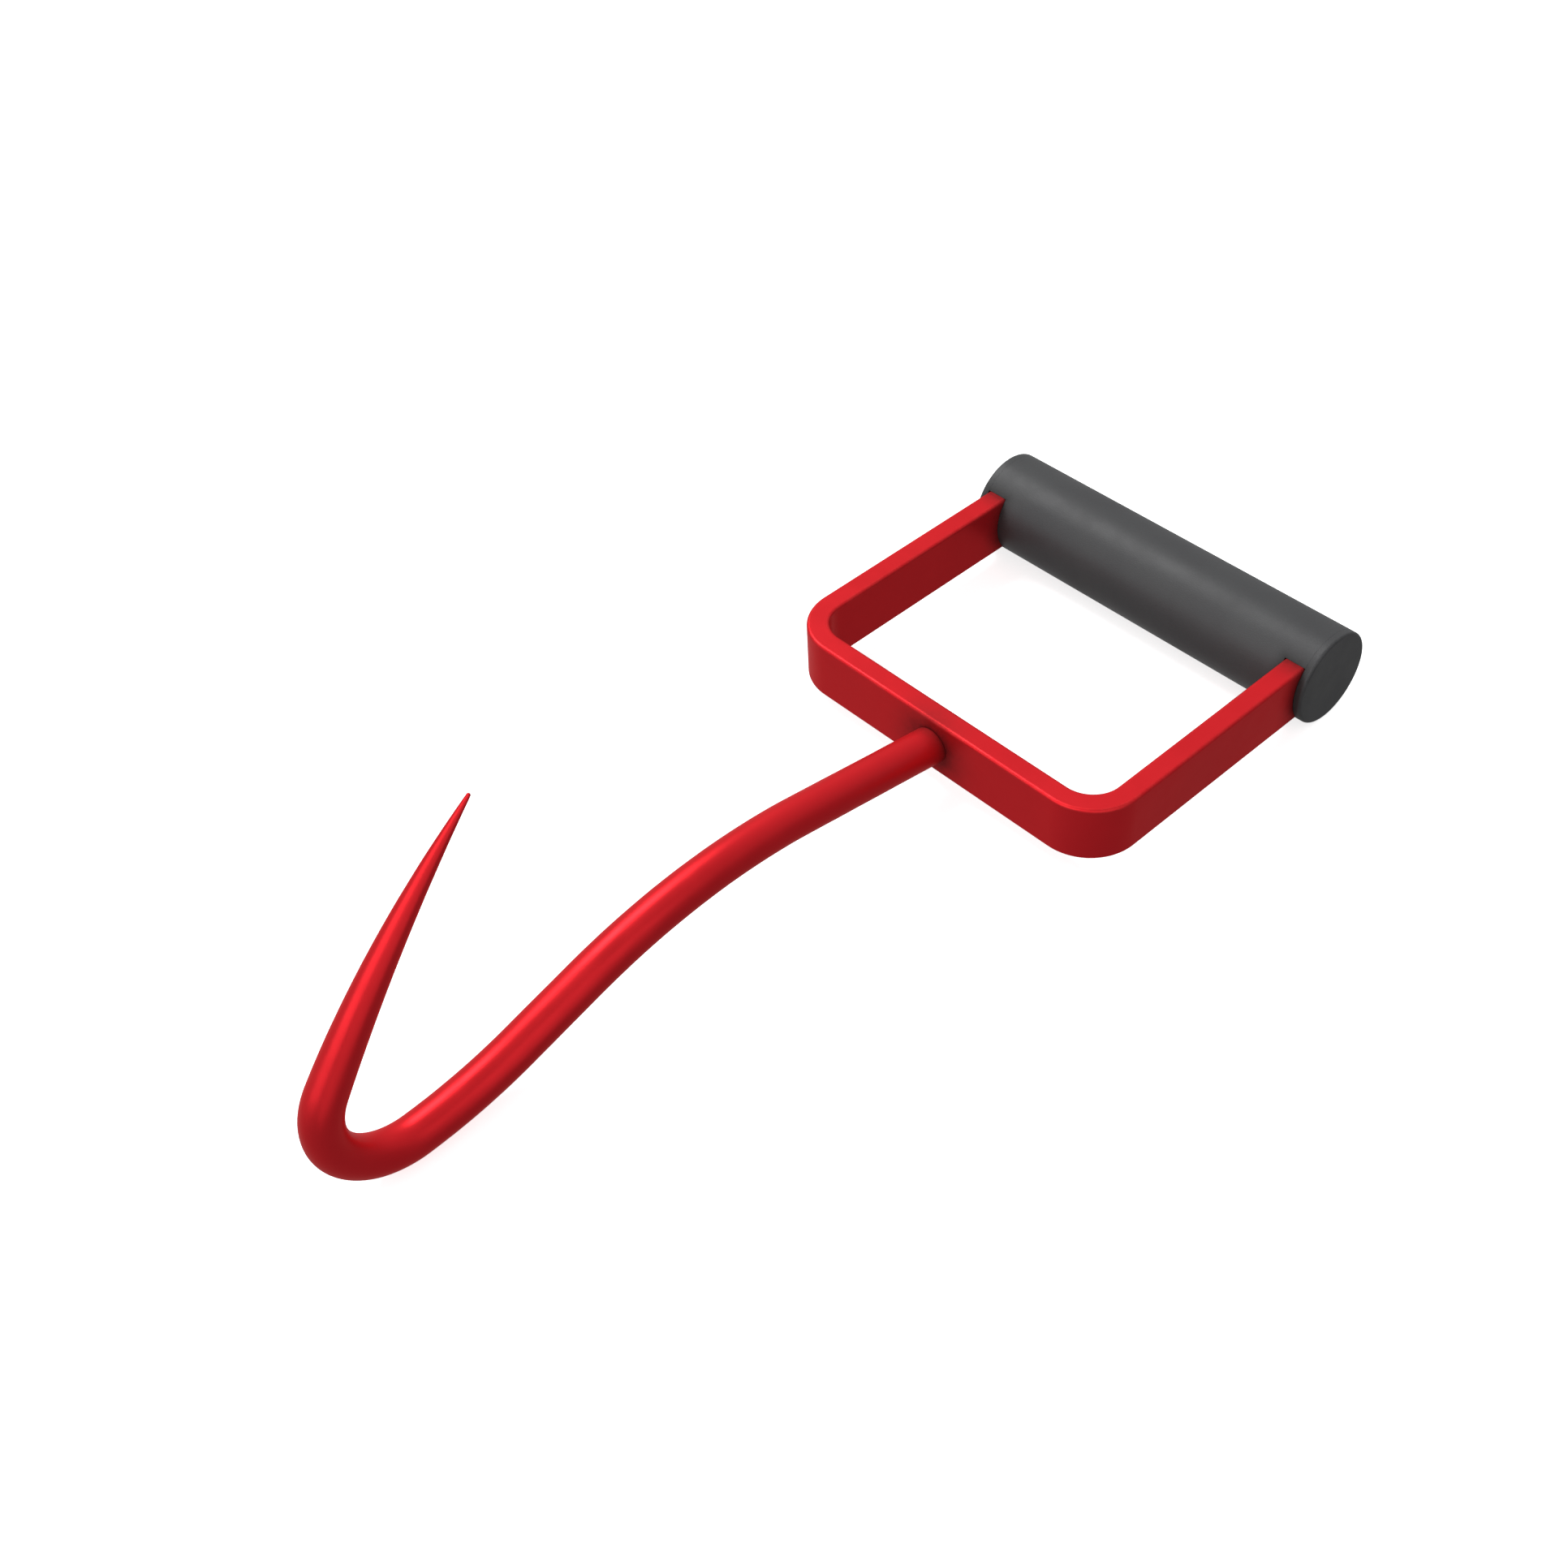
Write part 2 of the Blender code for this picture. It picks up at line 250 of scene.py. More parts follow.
def make_tone_drift() -> bpy.types.NodeTree:
    """Builds the slow, slight change of a colour over a surface.

    Returns:
        The node group.
    """
    group = EffectGroup("tone_drift",
                        (Socket("Color", "NodeSocketColor", (0.5, 0.5, 0.5, 1.0)),
                         Socket("Deep Color", "NodeSocketColor", (0.4, 0.4, 0.4, 1.0)),
                         Socket("Scale", "NodeSocketFloat", 25.0),
                         Socket("Amount", "NodeSocketFloat", 0.5)),
                        (Socket("Color", "NodeSocketColor"),))
    place = group.node("ShaderNodeTexCoord").outputs["Object"]
    cloud = group.noise(place, group.given("Scale"), detail=4.0, roughness=0.55)
    patches = group.spread(cloud, low=0.38, high=0.66, start=0.0, end=1.0)
    share = group.math("MULTIPLY", patches, group.given("Amount"))
    mixed = group.tint(share, group.given("Color"), group.given("Deep Color"))
    group.give("Color", mixed)
    return group.tree


def make_edge_wear() -> bpy.types.NodeTree:
    """Builds the rubbing of a finish where the mesh's edge layer marks an outer edge.

    Returns:
        The node group.
    """
    group = EffectGroup("edge_wear",
                        (Socket("Color", "NodeSocketColor", (0.5, 0.5, 0.5, 1.0)),
                         Socket("Worn Color", "NodeSocketColor", (0.6, 0.6, 0.6, 1.0)),
                         Socket("Scale", "NodeSocketFloat", 220.0),
                         Socket("Amount", "NodeSocketFloat", 0.3)),
                        (Socket("Color", "NodeSocketColor"),))
    place = group.node("ShaderNodeTexCoord").outputs["Object"]
    edge = group.node("ShaderNodeAttribute", attribute_name=EDGE_LAYER).outputs["Fac"]
    cloud = group.noise(place, group.given("Scale"), detail=5.0, roughness=0.6)
    patches = group.spread(cloud, low=0.42, high=0.62, start=0.0, end=1.0)
    mask = group.math("MULTIPLY", group.math("MULTIPLY", edge, patches), group.given("Amount"))
    mixed = group.tint(mask, group.given("Color"), group.given("Worn Color"))
    group.give("Color", mixed)
    return group.tree


def make_crease_shade() -> bpy.types.NodeTree:
    """Builds painted shade where the mesh's crease layer marks that two pieces meet: a darker colour and a
    duller gloss.

    Returns:
        The node group.
    """
    group = EffectGroup("crease_shade",
                        (Socket("Color", "NodeSocketColor", (0.5, 0.5, 0.5, 1.0)),
                         Socket("Shade Color", "NodeSocketColor", (0.05, 0.05, 0.05, 1.0)),
                         Socket("Roughness", "NodeSocketFloat", 0.5),
                         Socket("Crease Roughness", "NodeSocketFloat", 0.8),
                         Socket("Scale", "NodeSocketFloat", 300.0),
                         Socket("Amount", "NodeSocketFloat", 0.8)),
                        (Socket("Color", "NodeSocketColor"), Socket("Roughness", "NodeSocketFloat")))
    place = group.node("ShaderNodeTexCoord").outputs["Object"]
    crease = group.node("ShaderNodeAttribute", attribute_name=CREASE_LAYER).outputs["Fac"]
    cloud = group.noise(place, group.given("Scale"), detail=4.0, roughness=0.6)
    uneven = group.math("MULTIPLY", crease, group.spread(cloud, low=0.3, high=0.7, start=0.75, end=1.0))
    mask = group.math("MULTIPLY", uneven, group.given("Amount"))
    # The crease mask darkens the colour: painted shade where pieces meet.
    mixed = group.tint(mask, group.given("Color"), group.given("Shade Color"))
    rise = group.math("SUBTRACT", group.given("Crease Roughness"), group.given("Roughness"))
    dulled = group.math("ADD", group.given("Roughness"), group.math("MULTIPLY", rise, mask))
    group.give("Color", mixed)
    group.give("Roughness", dulled)
    return group.tree


def make_scuffing() -> bpy.types.NodeTree:
    """Builds the uneven gloss of a handled surface: broad dull patches and short fine scratches.

    Returns:
        The node group.
    """
    group = EffectGroup("scuffing",
                        (Socket("Roughness", "NodeSocketFloat", 0.4),
                         Socket("Scale", "NodeSocketFloat", 60.0),
                         Socket("Amount", "NodeSocketFloat", 0.08)),
                        (Socket("Roughness", "NodeSocketFloat"),))
    place = group.node("ShaderNodeTexCoord").outputs["Object"]
    patches = group.noise(place, group.given("Scale"), detail=5.0, roughness=0.6)
    streak_place = group.node("ShaderNodeMapping")
    streak_place.inputs["Scale"].default_value = STREAK_STRETCH
    group.link(place, streak_place.inputs["Vector"])
    streaks = group.noise(streak_place.outputs["Vector"], group.given("Scale"),
                          detail=3.0, roughness=0.7)
    both = group.math("ADD", group.spread(patches, low=0.35, high=0.7, start=-1.0, end=1.0),
                      group.spread(streaks, low=0.6, high=0.75, start=0.0, end=0.8))
    change = group.math("MULTIPLY", both, group.given("Amount"))
    group.give("Roughness", group.math("ADD", group.given("Roughness"), change))
    return group.tree


@dataclass(frozen=True)
class Effects:
    """The shared node groups."""

    surface_height: bpy.types.NodeTree
    tone_drift: bpy.types.NodeTree
    edge_wear: bpy.types.NodeTree
    crease_shade: bpy.types.NodeTree
    scuffing: bpy.types.NodeTree

    @classmethod
    def build(cls) -> "Effects":
        """Builds every group once."""
        return cls(make_surface_height(), make_tone_drift(), make_edge_wear(), make_crease_shade(),
                   make_scuffing())


# Finishes -----------------------------------------------------------------------------------------


@dataclass(frozen=True)
class Finish:
    """A solid finish: colours, gloss and relief, all as values of the shared effects."""

    name: str
    color: Color
    deep_color: Color
    worn_color: Color
    # Colour of the painted shade in the creases where pieces meet.
    shade_color: Color
    roughness: float
    metallic: float
    specular_level: float
    specular_tint: Color
    drift_scale: float
    drift: float
    wear_scale: float
    wear: float
    scuff_scale: float
    scuff: float
    grain_scale: float
    grain: float
    ripple_scale: float
    ripple: float
    relief: float
    relief_depth: float
    # Gloss, scale and amount of the painted shade in the creases.
    crease_roughness: float = 0.75
    shade_scale: float = 300.0
    shade: float = 0.8

    def material(self, effects: Effects) -> bpy.types.Material:
        """Builds the material.

        Args:
            effects: The shared node groups.

        Returns:
            The finished material.
        """
        made = bpy.data.materials.new(self.name)
        made.use_nodes = True
        made.diffuse_color = (*self.color, 1.0)
        tree = made.node_tree
        shader = tree.nodes["Principled BSDF"]
        shader.inputs["Metallic"].default_value = self.metallic
        shader.inputs["Specular IOR Level"].default_value = self.specular_level
        shader.inputs["Specular Tint"].default_value = (*self.specular_tint, 1.0)

        tone = self._place(tree, effects.tone_drift, {
            "Color": (*self.color, 1.0), "Deep Color": (*self.deep_color, 1.0),
            "Scale": self.drift_scale, "Amount": self.drift})
        wear = self._place(tree, effects.edge_wear, {
            "Worn Color": (*self.worn_color, 1.0), "Scale": self.wear_scale, "Amount": self.wear})
        gloss = self._place(tree, effects.scuffing, {
            "Roughness": self.roughness, "Scale": self.scuff_scale, "Amount": self.scuff})
        # Painted shade in the creases where pieces meet.
        shade = self._place(tree, effects.crease_shade, {
            "Shade Color": (*self.shade_color, 1.0), "Crease Roughness": self.crease_roughness,
            "Scale": self.shade_scale, "Amount": self.shade})
        height = self._place(tree, effects.surface_height, {
            "Grain Scale": self.grain_scale, "Grain": self.grain,
            "Ripple Scale": self.ripple_scale, "Ripple": self.ripple})
        bump = tree.nodes.new("ShaderNodeBump")
        bump.inputs["Strength"].default_value = self.relief
        bump.inputs["Distance"].default_value = self.relief_depth

        tree.links.new(tone.outputs["Color"], wear.inputs["Color"])
        tree.links.new(wear.outputs["Color"], shade.inputs["Color"])
        tree.links.new(gloss.outputs["Roughness"], shade.inputs["Roughness"])
        tree.links.new(shade.outputs["Color"], shader.inputs["Base Color"])
        tree.links.new(shade.outputs["Roughness"], shader.inputs["Roughness"])
        tree.links.new(height.outputs["Height"], bump.inputs["Height"])
        tree.links.new(bump.outputs["Normal"], shader.inputs["Normal"])
        return made

    @staticmethod
    def _place(tree: bpy.types.NodeTree, group: bpy.types.NodeTree,
               values: dict[str, object]) -> bpy.types.Node:
        """Places a group in a material and sets its inputs.

        Args:
            tree: The material's node tree.
            group: The group to place.
            values: Input values by name.

        Returns:
            The group's node.
        """
        node = tree.nodes.new("ShaderNodeGroup")
        node.node_tree = group
        for name, value in values.items():
            node.inputs[name].default_value = value
        return node


RED_ENAMEL = Finish(
    name="red_enamel",
    color=(0.72, 0.021, 0.028), deep_color=(0.66, 0.018, 0.024), worn_color=(0.76, 0.05, 0.05),
    # The dark crease colour is painted shade.
    shade_color=(0.055, 0.018, 0.018),
    roughness=0.36, metallic=0.5, specular_level=0.25, specular_tint=(1.0, 0.10, 0.11),
    drift_scale=30.0, drift=0.5, wear_scale=260.0, wear=0.22, scuff_scale=70.0, scuff=0.035,
    grain_scale=1100.0, grain=0.6, ripple_scale=260.0, ripple=1.0, relief=0.35, relief_depth=0.04 * MM)

MOULDED_GREY = Finish(
    name="moulded_grey",
    color=(0.060, 0.061, 0.063), deep_color=(0.053, 0.053, 0.056), worn_color=(0.085, 0.085, 0.089),
    # The dark crease colour is painted shade.
    shade_color=(0.012, 0.012, 0.011),
    roughness=0.48, metallic=0.0, specular_level=0.30, specular_tint=(1.0, 1.0, 1.0),
    drift_scale=40.0, drift=0.6, wear_scale=300.0, wear=0.35, scuff_scale=50.0, scuff=0.05,
    grain_scale=2600.0, grain=1.0, ripple_scale=500.0, ripple=0.5, relief=0.5, relief_depth=0.07 * MM)

BRIGHT_ZINC = Finish(
    name="bright_zinc",
    color=(0.58, 0.59, 0.60), deep_color=(0.46, 0.47, 0.49), worn_color=(0.68, 0.68, 0.68),
    # The dark crease colour is painted shade.
    shade_color=(0.12, 0.11, 0.10),
    roughness=0.32, metallic=1.0, specular_level=0.5, specular_tint=(1.0, 1.0, 1.0),
    drift_scale=120.0, drift=0.8, wear_scale=400.0, wear=0.2, scuff_scale=200.0, scuff=0.08,
    grain_scale=1500.0, grain=0.7, ripple_scale=300.0, ripple=0.4, relief=0.2, relief_depth=0.02 * MM)


# Mesh building ------------------------------------------------------------------------------------


@dataclass
class Skin:
    """A surface stretched over equal rings of points, each point with its own edge mark."""

    name: str
    rings: list[Ring] = field(default_factory=list)
    marks: list[list[float]] = field(default_factory=list)

    def add(self, ring: Ring, marks: Sequence[float] | float = 0.0) -> None:
        """Adds a ring.

        Args:
            ring: The ring's points.
            marks: Edge mark of each point, or one mark for all, from 0 to 1.
        """
        self.rings.append(ring)
        self.marks.append([marks] * len(ring) if isinstance(marks, float) else list(marks))

    def build(self, hollow: bool = False) -> bpy.types.Object:
        """Makes the mesh object.

        Args:
            hollow: Joins the last ring to the first instead of closing both ends.

        Returns:
            The new object, linked to the scene.
        """
        shell = bmesh.new()
        layer = shell.verts.layers.float.new(EDGE_LAYER)
        loops = []
        for ring, marks in zip(self.rings, self.marks):
            loop = [shell.verts.new(point) for point in ring]
            for vertex, mark in zip(loop, marks):
                vertex[layer] = mark
            loops.append(loop)
        following = loops[1:] + loops[:1] if hollow else loops[1:]
        for low, high in zip(loops, following):
            for index in range(len(low)):
                after = (index + 1) % len(low)
                shell.faces.new((low[index], low[after], high[after], high[index]))
        if not hollow:
            for loop in (loops[0], loops[-1]):
                shell.faces.new(loop)
        bmesh.ops.recalc_face_normals(shell, faces=shell.faces)
        mesh = bpy.data.meshes.new(self.name)
        shell.to_mesh(mesh)
        shell.free()
        mesh.shade_smooth()
        mesh.set_sharp_from_angle(angle=SHARP_ANGLE)
        return add_object(self.name, mesh)


def add_object(name: str, data: bpy.types.ID) -> bpy.types.Object:
    """Adds an object that shows the given data to the scene."""
    made = bpy.data.objects.new(name, data)
    bpy.context.scene.collection.objects.link(made)
    return made


def arc(start: float, end: float, steps: int) -> Iterator[float]:
    """Yields evenly spaced angles from start to end, both included."""
    for step in range(steps + 1):
        yield start + (end - start) * step / steps


def turned_ring(centre: Vector, along: float, radius: float, sides: int) -> Ring:
    """Makes a ring about an X-parallel axis.

    Args:
        centre: A point on the axis.
        along: Distance from it along X.
        radius: The ring's radius.
        sides: How many points.

    Returns:
        The ring's points.
    """
    return [centre + Vector((along, radius * math.cos(turn), radius * math.sin(turn)))
            for turn in list(arc(0.0, 2 * math.pi, sides))[:-1]]


def paint(piece: bpy.types.Object, layer: str, mark: Callable[[Vector], float]) -> None:
    """Paints a value from 0 to 1 on each vertex of a piece.

    Args:
        piece: The piece.
        layer: Name of the painted layer.
        mark: The value at a point.
    """
    attribute = piece.data.attributes.new(layer, "FLOAT", "POINT")
    for vertex, entry in zip(piece.data.vertices, attribute.data):
        entry.value = mark(vertex.co)


def undented(point: Vector) -> float:
    """Leaves the surface as it is at a point."""
    return 0.0


def fade(distance: float, reach: float) -> float:
    """Falls from 1 at no distance to 0 at the reach."""
    return max(0.0, 1.0 - distance / reach) ** 2


def dress(piece: bpy.types.Object, material: bpy.types.Material, slot: Slot, *nodes: str) -> None:
    """Gives a new piece its material and body, and hides the nodes that it stands for.

    Args:
        piece: The piece.
        material: Its material.
        slot: The record's slot; not used.
        nodes: Names of the nodes that it covers.
    """
    piece.data.materials.append(material)
    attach(piece, ROOT_BODY)
    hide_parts(*nodes)
    log.info("%s stands for %s with %d faces", piece.name, ", ".join(nodes), len(piece.data.polygons))


def carry(node: str, material: bpy.types.Material) -> None:
    """Keeps a node's own shape and gives it a material."""
    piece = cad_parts[node]
    piece.data.materials.clear()
    piece.data.materials.append(material)
    log.info("%s keeps its own shape", node)


# Sub-assemblies -----------------------------------------------------------------------------------


@dataclass
class HandleFrame:
    """The flat bar bent to a U, with eased edges."""

    bar_thickness: float = 7.4 * MM
    inner_corner_radius: float = 10.5 * MM
    edge_radius: float = 1.0 * MM
    edge_steps: int = 6
    support: float = 0.25 * MM
    face_steps: int = 14
    corner_steps: int = 28
    run_step: float = 1.8 * MM
    # Reaches of the painted shade round the rod joint and by the grip.
    joint_shade: float = 15.0 * MM
    seat_shade: float = 9.0 * MM

    def __post_init__(self) -> None:
        """Reads the bar's outer sizes from its node."""
        self.low, self.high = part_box("handle_frame")

    @property
    def middle_height(self) -> float:
        """Height of the frame's middle plane."""
        return (self.low.z + self.high.z) / 2

    @property
    def crossbar_outer(self) -> float:
        """Y of the crossbar's outer face."""
        return self.low.y

    @property
    def crossbar_inner(self) -> float:
        """Y of the crossbar's inner face."""
        return self.low.y + self.bar_thickness

    def section(self) -> list[tuple[float, float, float]]:
        """Lays out the bar's cross-section.

        Returns:
            Points as (across, up, edge mark), with support points beside each eased corner.
        """
        half_across = self.bar_thickness / 2
        half_up = (self.high.z - self.low.z) / 2
        reach = half_across - self.edge_radius
        rise = half_up - self.edge_radius
        points = []
        for quarter, (side, top) in enumerate(((1, 1), (-1, 1), (-1, -1), (1, -1))):
            start = quarter * math.pi / 2
            corner = [(side * reach + self.edge_radius * math.cos(turn),
                       top * rise + self.edge_radius * math.sin(turn))
                      for turn in arc(start, start + math.pi / 2, self.edge_steps)]
            into = Vector((math.sin(start), -math.cos(start))) * self.support
            out = Vector((-math.cos(start), -math.sin(start))) * self.support
            first, last = Vector(corner[0]) + into, Vector(corner[-1]) + out
            points.append((first.x, first.y, 0.0))
            points += [(across, up, 1.0) for across, up in corner]
            points.append((last.x, last.y, 0.0))
            if side != top:
                length = 2 * (rise - self.support)
                points += [(last.x, last.y + top * -length * step / self.face_steps, 0.0)
                           for step in range(1, self.face_steps)]
        return points

    def centreline(self) -> list[tuple[Vector, Vector]]:
        """Walks the bar from the left arm's end to the right arm's end.

        Returns:
            Stations as (place, direction along the bar), in X and Y.
        """
        half_width = self.high.x - self.bar_thickness / 2
        bend = self.inner_corner_radius + self.bar_thickness / 2
        base = self.low.y + self.bar_thickness / 2
        corner_x, corner_y = half_width - bend, base + bend
        runs = max(1, round((self.high.y - corner_y) / self.run_step))
        stations = [(Vector((-half_width, y)), Vector((0.0, -1.0)))
                    for y in list(arc(self.high.y, corner_y, runs))[:-1]]
        for centre_x, start in ((-corner_x, math.pi), (corner_x, 1.5 * math.pi)):
            for turn in arc(start, start + math.pi / 2, self.corner_steps):
                place = Vector((centre_x + bend * math.cos(turn), corner_y + bend * math.sin(turn)))
                stations.append((place, Vector((-math.sin(turn), math.cos(turn)))))
            if centre_x < 0:
                bridge = max(1, round(2 * corner_x / self.run_step))
                stations += [(Vector((x, base)), Vector((1.0, 0.0)))
                             for x in list(arc(-corner_x, corner_x, bridge))[1:-1]]
        stations += [(Vector((half_width, y)), Vector((0.0, 1.0)))
                     for y in list(arc(corner_y, self.high.y, runs))[1:]]
        return stations

    def joint_distance(self, point: Vector, rod_radius: float) -> float:
        """Measures how far a point is from the circle where the rod meets the crossbar.

        Args:
            point: The point.
            rod_radius: The rod's radius.

        Returns:
            The distance.
        """
        off_axis = math.hypot(point.x, point.z - self.middle_height) - rod_radius
        return math.hypot(off_axis, point.y - self.crossbar_outer)

    def arm_distance(self, point: Vector, mouth: float) -> float:
        """Measures how far a point is from the nearer arm, up to where the arm goes into the grip.

        Args:
            point: The point.
            mouth: Y where the arm's upper edge goes into the grip.

        Returns:
            The distance, or 0 inside the arm.
        """
        aside = abs(abs(point.x) - (self.high.x - self.bar_thickness / 2)) - self.bar_thickness / 2
        above = abs(point.z - self.middle_height) - (self.high.z - self.low.z) / 2
        beyond = point.y - mouth
        return Vector([max(0.0, gap) for gap in (aside, above, beyond)]).length

    def build(self, grip: "Grip", rod_radius: float, material: bpy.types.Material) -> bpy.types.Object:
        """Builds and dresses the bar.

        Args:
            grip: The grip between its arms.
            rod_radius: Radius of the rod that meets the crossbar.
            material: Its enamel.

        Returns:
            The piece.
        """
        # Painted shade round the rod joint and where the arms go into the grip.
        def crease(point: Vector) -> float:
            joint = fade(self.joint_distance(point, rod_radius), self.joint_shade)
            seat = fade(grip.surface_distance(point), self.seat_shade)
            return max(joint, seat)

        skin = Skin("frame_bar")
        section = self.section()
        marks = [mark for _, _, mark in section]
        for place, along in self.centreline():
            across = Vector((along.y, -along.x))
            ring = [Vector((place.x + across.x * side, place.y + across.y * side, self.middle_height + up))
                    for side, up, _ in section]
            skin.add(ring, marks)
        piece = skin.build()
        paint(piece, CREASE_LAYER, crease)
        dress(piece, material, Slot.RED_PAINT, "handle_frame")
        return piece


@dataclass(frozen=True)
class Leg:
    """One stretch of the rod's centreline: a straight run, or an arc if it has an angle."""

    size: float
    angle: float = 0.0

    @property
    def length(self) -> float:
        """The stretch's length."""
        return self.size * abs(math.radians(self.angle)) if self.angle else self.size


@dataclass(frozen=True)
class Station:
    """A place on the rod's centreline: its Y and Z, its heading above -Y and its distance from the bar."""

    y: float
    z: float
    heading: float
    distance: float


@dataclass
class Hook:
    """The forged rod: rivet head, shank, bend and tapered prong."""

    rod_radius: float = 6.15 * MM
    tenon_radius: float = 4.0 * MM
    head_radius: float = 5.5 * MM
    head_height: float = 1.6 * MM
    head_steps: int = 9
    head_wear: float = 0.3
    head_skirt: float = 0.25 * MM
    head_skirt_share: float = 0.97
    tenon_cover: float = 0.2 * MM
    washer_stack: float = 1.8 * MM
    point_radius: float = 0.6 * MM
    taper_length: float = 113.0 * MM
    taper_power: float = 1.75
    tip_steps: int = 5
    worn_tip: float = 12.0 * MM
    rise: float = 9.4
    groove_depth: float = 0.35 * MM
    groove_width: float = 0.35 * MM
    groove_profile: tuple[tuple[float, float], ...] = ((0.4, 1.0), (0.8, 0.3), (1.2, 0.0))
    shoulder_sink: float = 0.05 * MM
    # Reach of the painted shade on the rod next to the crossbar.
    joint_shade: float = 8.0 * MM
    hammer_depth: float = 0.05 * MM
    hammer_pitch: float = 7.0 * MM
    sides: int = 64
    station_step: float = 1.6 * MM
    legs: tuple[Leg, ...] = (Leg(55.7 * MM), Leg(176.3 * MM, -26.6), Leg(24.6 * MM), Leg(133.0 * MM, 15.5),
                             Leg(23.4 * MM, 125.4), Leg(344.0 * MM, 14.3))

    def centreline(self, start: Vector) -> list[Station]:
        """Walks the rod from the crossbar to the point.

        Args:
            start: Where it leaves the crossbar.

        Returns:
            Evenly spaced stations.
        """
        y, z, heading, distance = start.y, start.z, math.radians(self.rise), 0.0
        stations = [Station(y, z, heading, distance)]
        for leg in self.legs:
            steps = max(2, math.ceil(leg.length / self.station_step))
            swing = math.radians(leg.angle) / steps
            chord = 2 * leg.size * math.sin(abs(swing) / 2) if leg.angle else leg.length / steps
            for _ in range(steps):
                middle = heading + swing / 2
                y -= chord * math.cos(middle)
                z += chord * math.sin(middle)
                heading += swing
                distance += leg.length / steps
                stations.append(Station(y, z, heading, distance))
        return stations

    def radius_at(self, from_point: float) -> float:
        """Gives the rod's radius at a distance from its point."""
        if from_point >= self.taper_length:
            return self.rod_radius
        share = 1.0 - from_point / self.taper_length
        return self.point_radius + (self.rod_radius - self.point_radius) * (1.0 - share ** self.taper_power)

    def ring(self, station: Station, radius: float, dent: Callable[[Vector], float]) -> Ring:
        """Makes a ring square to the rod's centreline.

        Args:
            station: Where it stands.
            radius: Its radius.
            dent: How far the surface is pressed in at a point.

        Returns:
            The ring's points.
        """
        centre = Vector((0.0, station.y, station.z))
        up = Vector((0.0, math.sin(station.heading), math.cos(station.heading)))
        points = []
        for turn in list(arc(0.0, 2 * math.pi, self.sides))[:-1]:
            outward = Vector((math.cos(turn), 0.0, 0.0)) + up * math.sin(turn)
            points.append(centre + outward * (radius - dent(centre + outward * radius)))
        return points

    def hammered(self, point: Vector) -> float:
        """Gives the depth of the shallow forging marks at a point."""
        return self.hammer_depth * (0.5 + 0.5 * noise.noise(point / self.hammer_pitch))

    def head_rings(self, skin: Skin, handle: HandleFrame) -> None:
        """Adds the peened head and the tenon to the skin.

        Args:
            skin: The rod's skin.
            handle: The frame that the tenon goes through.
        """
        seat = handle.crossbar_inner + self.washer_stack
        height = handle.middle_height
        for turn in arc(HEAD_START, math.pi / 2, self.head_steps):
            flat = Station(seat + self.head_height * math.cos(turn), height, 0.0, 0.0)
            skin.add(self.ring(flat, self.head_radius * math.sin(turn), self.hammered), self.head_wear)
        for y, radius in ((seat - self.head_skirt, self.head_radius * self.head_skirt_share),
                          (seat - GAP, self.tenon_radius),
                          (handle.crossbar_outer + self.tenon_cover, self.tenon_radius)):
            skin.add(self.ring(Station(y, height, 0.0, 0.0), radius, undented))

    def root_rings(self, skin: Skin, handle: HandleFrame) -> None:
        """Adds the shoulder that bears on the crossbar, with a thin groove round it.

        Args:
            skin: The rod's skin.
            handle: The frame that the shoulder bears on.
        """
        heading = math.radians(self.rise)
        ahead = Vector((0.0, -math.cos(heading), math.sin(heading)))
        start = Station(handle.crossbar_outer, handle.middle_height, heading, 0.0)
        steps = [(-self.shoulder_sink, 1.0)]
        steps += [(share * self.groove_width, depth) for share, depth in self.groove_profile]
        for off, depth in steps:
            face = handle.crossbar_outer - off
            ring = self.ring(start, self.rod_radius - depth * self.groove_depth, undented)
            skin.add([point + ahead * ((face - point.y) / ahead.y) for point in ring])

    def build(self, handle: HandleFrame, material: bpy.types.Material) -> bpy.types.Object:
        """Builds and dresses the rod.

        Args:
            handle: The frame that it is riveted to.
            material: Its enamel.

        Returns:
            The piece.
        """
        skin = Skin("hook_rod")
        self.head_rings(skin, handle)
        self.root_rings(skin, handle)
        start = Vector((0.0, handle.crossbar_outer - GAP, handle.middle_height))
        stations = self.centreline(start)
        whole = stations[-1].distance
        clear = self.rod_radius * math.tan(math.radians(self.rise)) + 2 * self.groove_width
        for station in stations:
            if station.distance < clear:
                continue
            from_point = whole - station.distance
            worn = max(0.0, 1.0 - from_point / self.worn_tip)
            skin.add(self.ring(station, self.radius_at(from_point), self.hammered), worn)
        tip = stations[-1]
        for turn in list(arc(0.0, math.pi / 2, self.tip_steps))[1:-1]:
            ahead = self.point_radius * math.sin(turn)
            cap = Station(tip.y - ahead * math.cos(tip.heading), tip.z + ahead * math.sin(tip.heading),
                          tip.heading, whole)
            skin.add(self.ring(cap, self.point_radius * math.cos(turn), self.hammered), 1.0)
        piece = skin.build()
        # Painted shade on the rod next to the crossbar.
        paint(piece, CREASE_LAYER,
              lambda point: fade(handle.joint_distance(point, self.rod_radius), self.joint_shade))
        dress(piece, material, Slot.RED_PAINT, "hook")
        return piece


